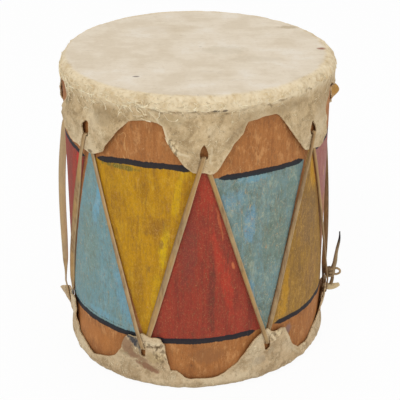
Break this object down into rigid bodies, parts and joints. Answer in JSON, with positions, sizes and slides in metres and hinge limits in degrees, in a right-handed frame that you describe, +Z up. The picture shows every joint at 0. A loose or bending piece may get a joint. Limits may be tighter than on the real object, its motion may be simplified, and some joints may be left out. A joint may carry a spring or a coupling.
{
  "type": "pueblo drum",
  "caption": "Cylindrical log drum with laced rawhide heads, scalloped skirts and a flat zigzag rawhide thong, standing on its lower head.",
  "frame": {"origin": "on the log's axis, on the outer face of the bottom head", "axes": "+Z up along the log's axis, -Y towards the front, +X towards the side with the knot"},
  "size_m": [0.2784, 0.2575, 0.289],
  "materials": {
    "painted_wood": "bare and painted wood, worn, matte",
    "top_rawhide": "scraped rawhide, satin",
    "bottom_rawhide": "scraped rawhide, mottled, satin",
    "thong_rawhide": "dried rawhide thong, matte"
  },
  "bodies": {
    "root": {"drum_shell": "painted_wood", "top_head": "top_rawhide", "bottom_head": "bottom_rawhide", "lacing_thong": "thong_rawhide"}
  },
  "joints": []
}
